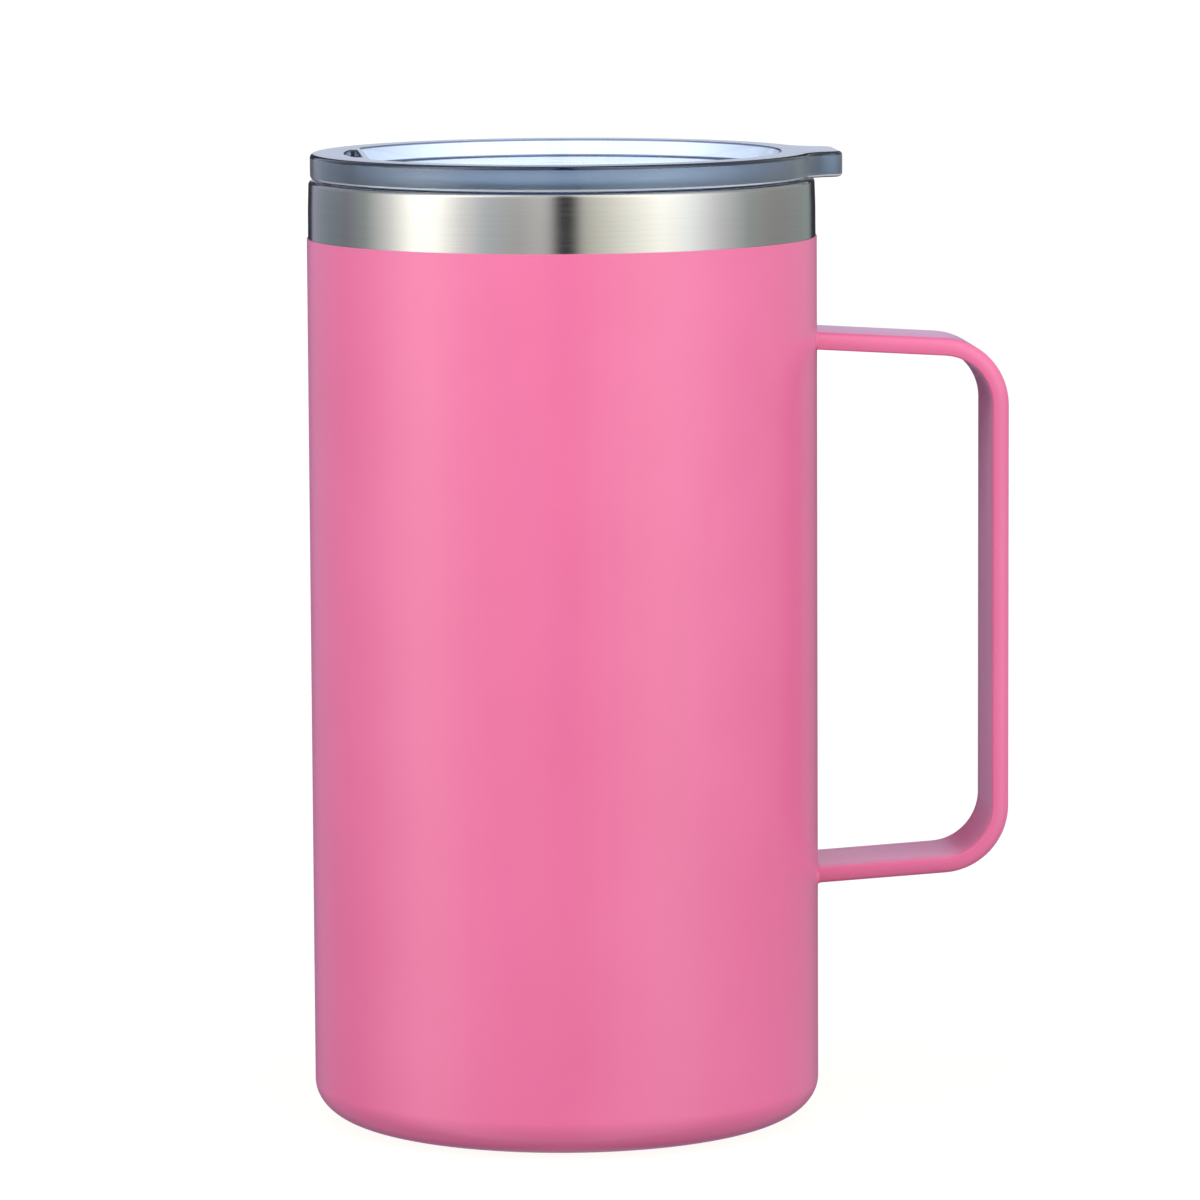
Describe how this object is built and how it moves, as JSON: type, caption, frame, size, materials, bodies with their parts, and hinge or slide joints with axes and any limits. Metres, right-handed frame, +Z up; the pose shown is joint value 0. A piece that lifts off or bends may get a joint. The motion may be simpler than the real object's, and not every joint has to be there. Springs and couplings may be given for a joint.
{
  "type": "insulated tumbler",
  "caption": "Vacuum-insulated steel tumbler with a side handle, a bare steel rim and a clear press-in sip lid that turns and lifts off.",
  "frame": {"origin": "centre of the flat base that the tumbler stands on", "axes": "+Z up along the body, +X towards the handle and the lid's tab, Y across the handle"},
  "size_m": [0.118, 0.086, 0.1647],
  "materials": {
    "pink_coat": "satin powder coat with a fine grain",
    "pink_handle": "satin powder coat with a fine grain",
    "brushed_band": "brushed round the band",
    "steel_inner": "electropolished inside",
    "steel_weld": "ground and polished",
    "steel_plain": "mill finish, hidden",
    "steel_base": "fine concentric turning marks",
    "copper": "thin copper foil",
    "getter": "pressed metal powder",
    "solder_glass": "melted solder glass",
    "clear_lid": "clear moulded plastic with a faint blue tint",
    "silicone": "translucent silicone"
  },
  "bodies": {
    "mug": {"powder_coat": "pink_coat", "outer_shell": "brushed_band", "inner_cup": "steel_inner", "rim_weld": "steel_weld", "copper_foil": "copper", "outer_base": "steel_plain", "getter_cup": "steel_plain", "getter_pill": "getter", "vacuum_seal_bead": "solder_glass", "base_cap": "steel_base", "handle_channel": "pink_handle", "handle_inner_strip": "pink_handle", "upper_handle_weld": "pink_handle", "lower_handle_weld": "pink_handle"},
    "seal": {"lid_gasket": "silicone"},
    "lid": {"lid_body": "clear_lid"}
  },
  "joints": [
    {"name": "lid_lift", "type": "slide", "parent": "mug", "child": "seal", "axis": [0, 0, 1], "range_m": [0, 0.05]},
    {"name": "lid_turn", "type": "hinge", "parent": "seal", "child": "lid", "pos_m": [0, 0, 0.1604], "axis": [0, 0, 1], "continuous": true}
  ]
}
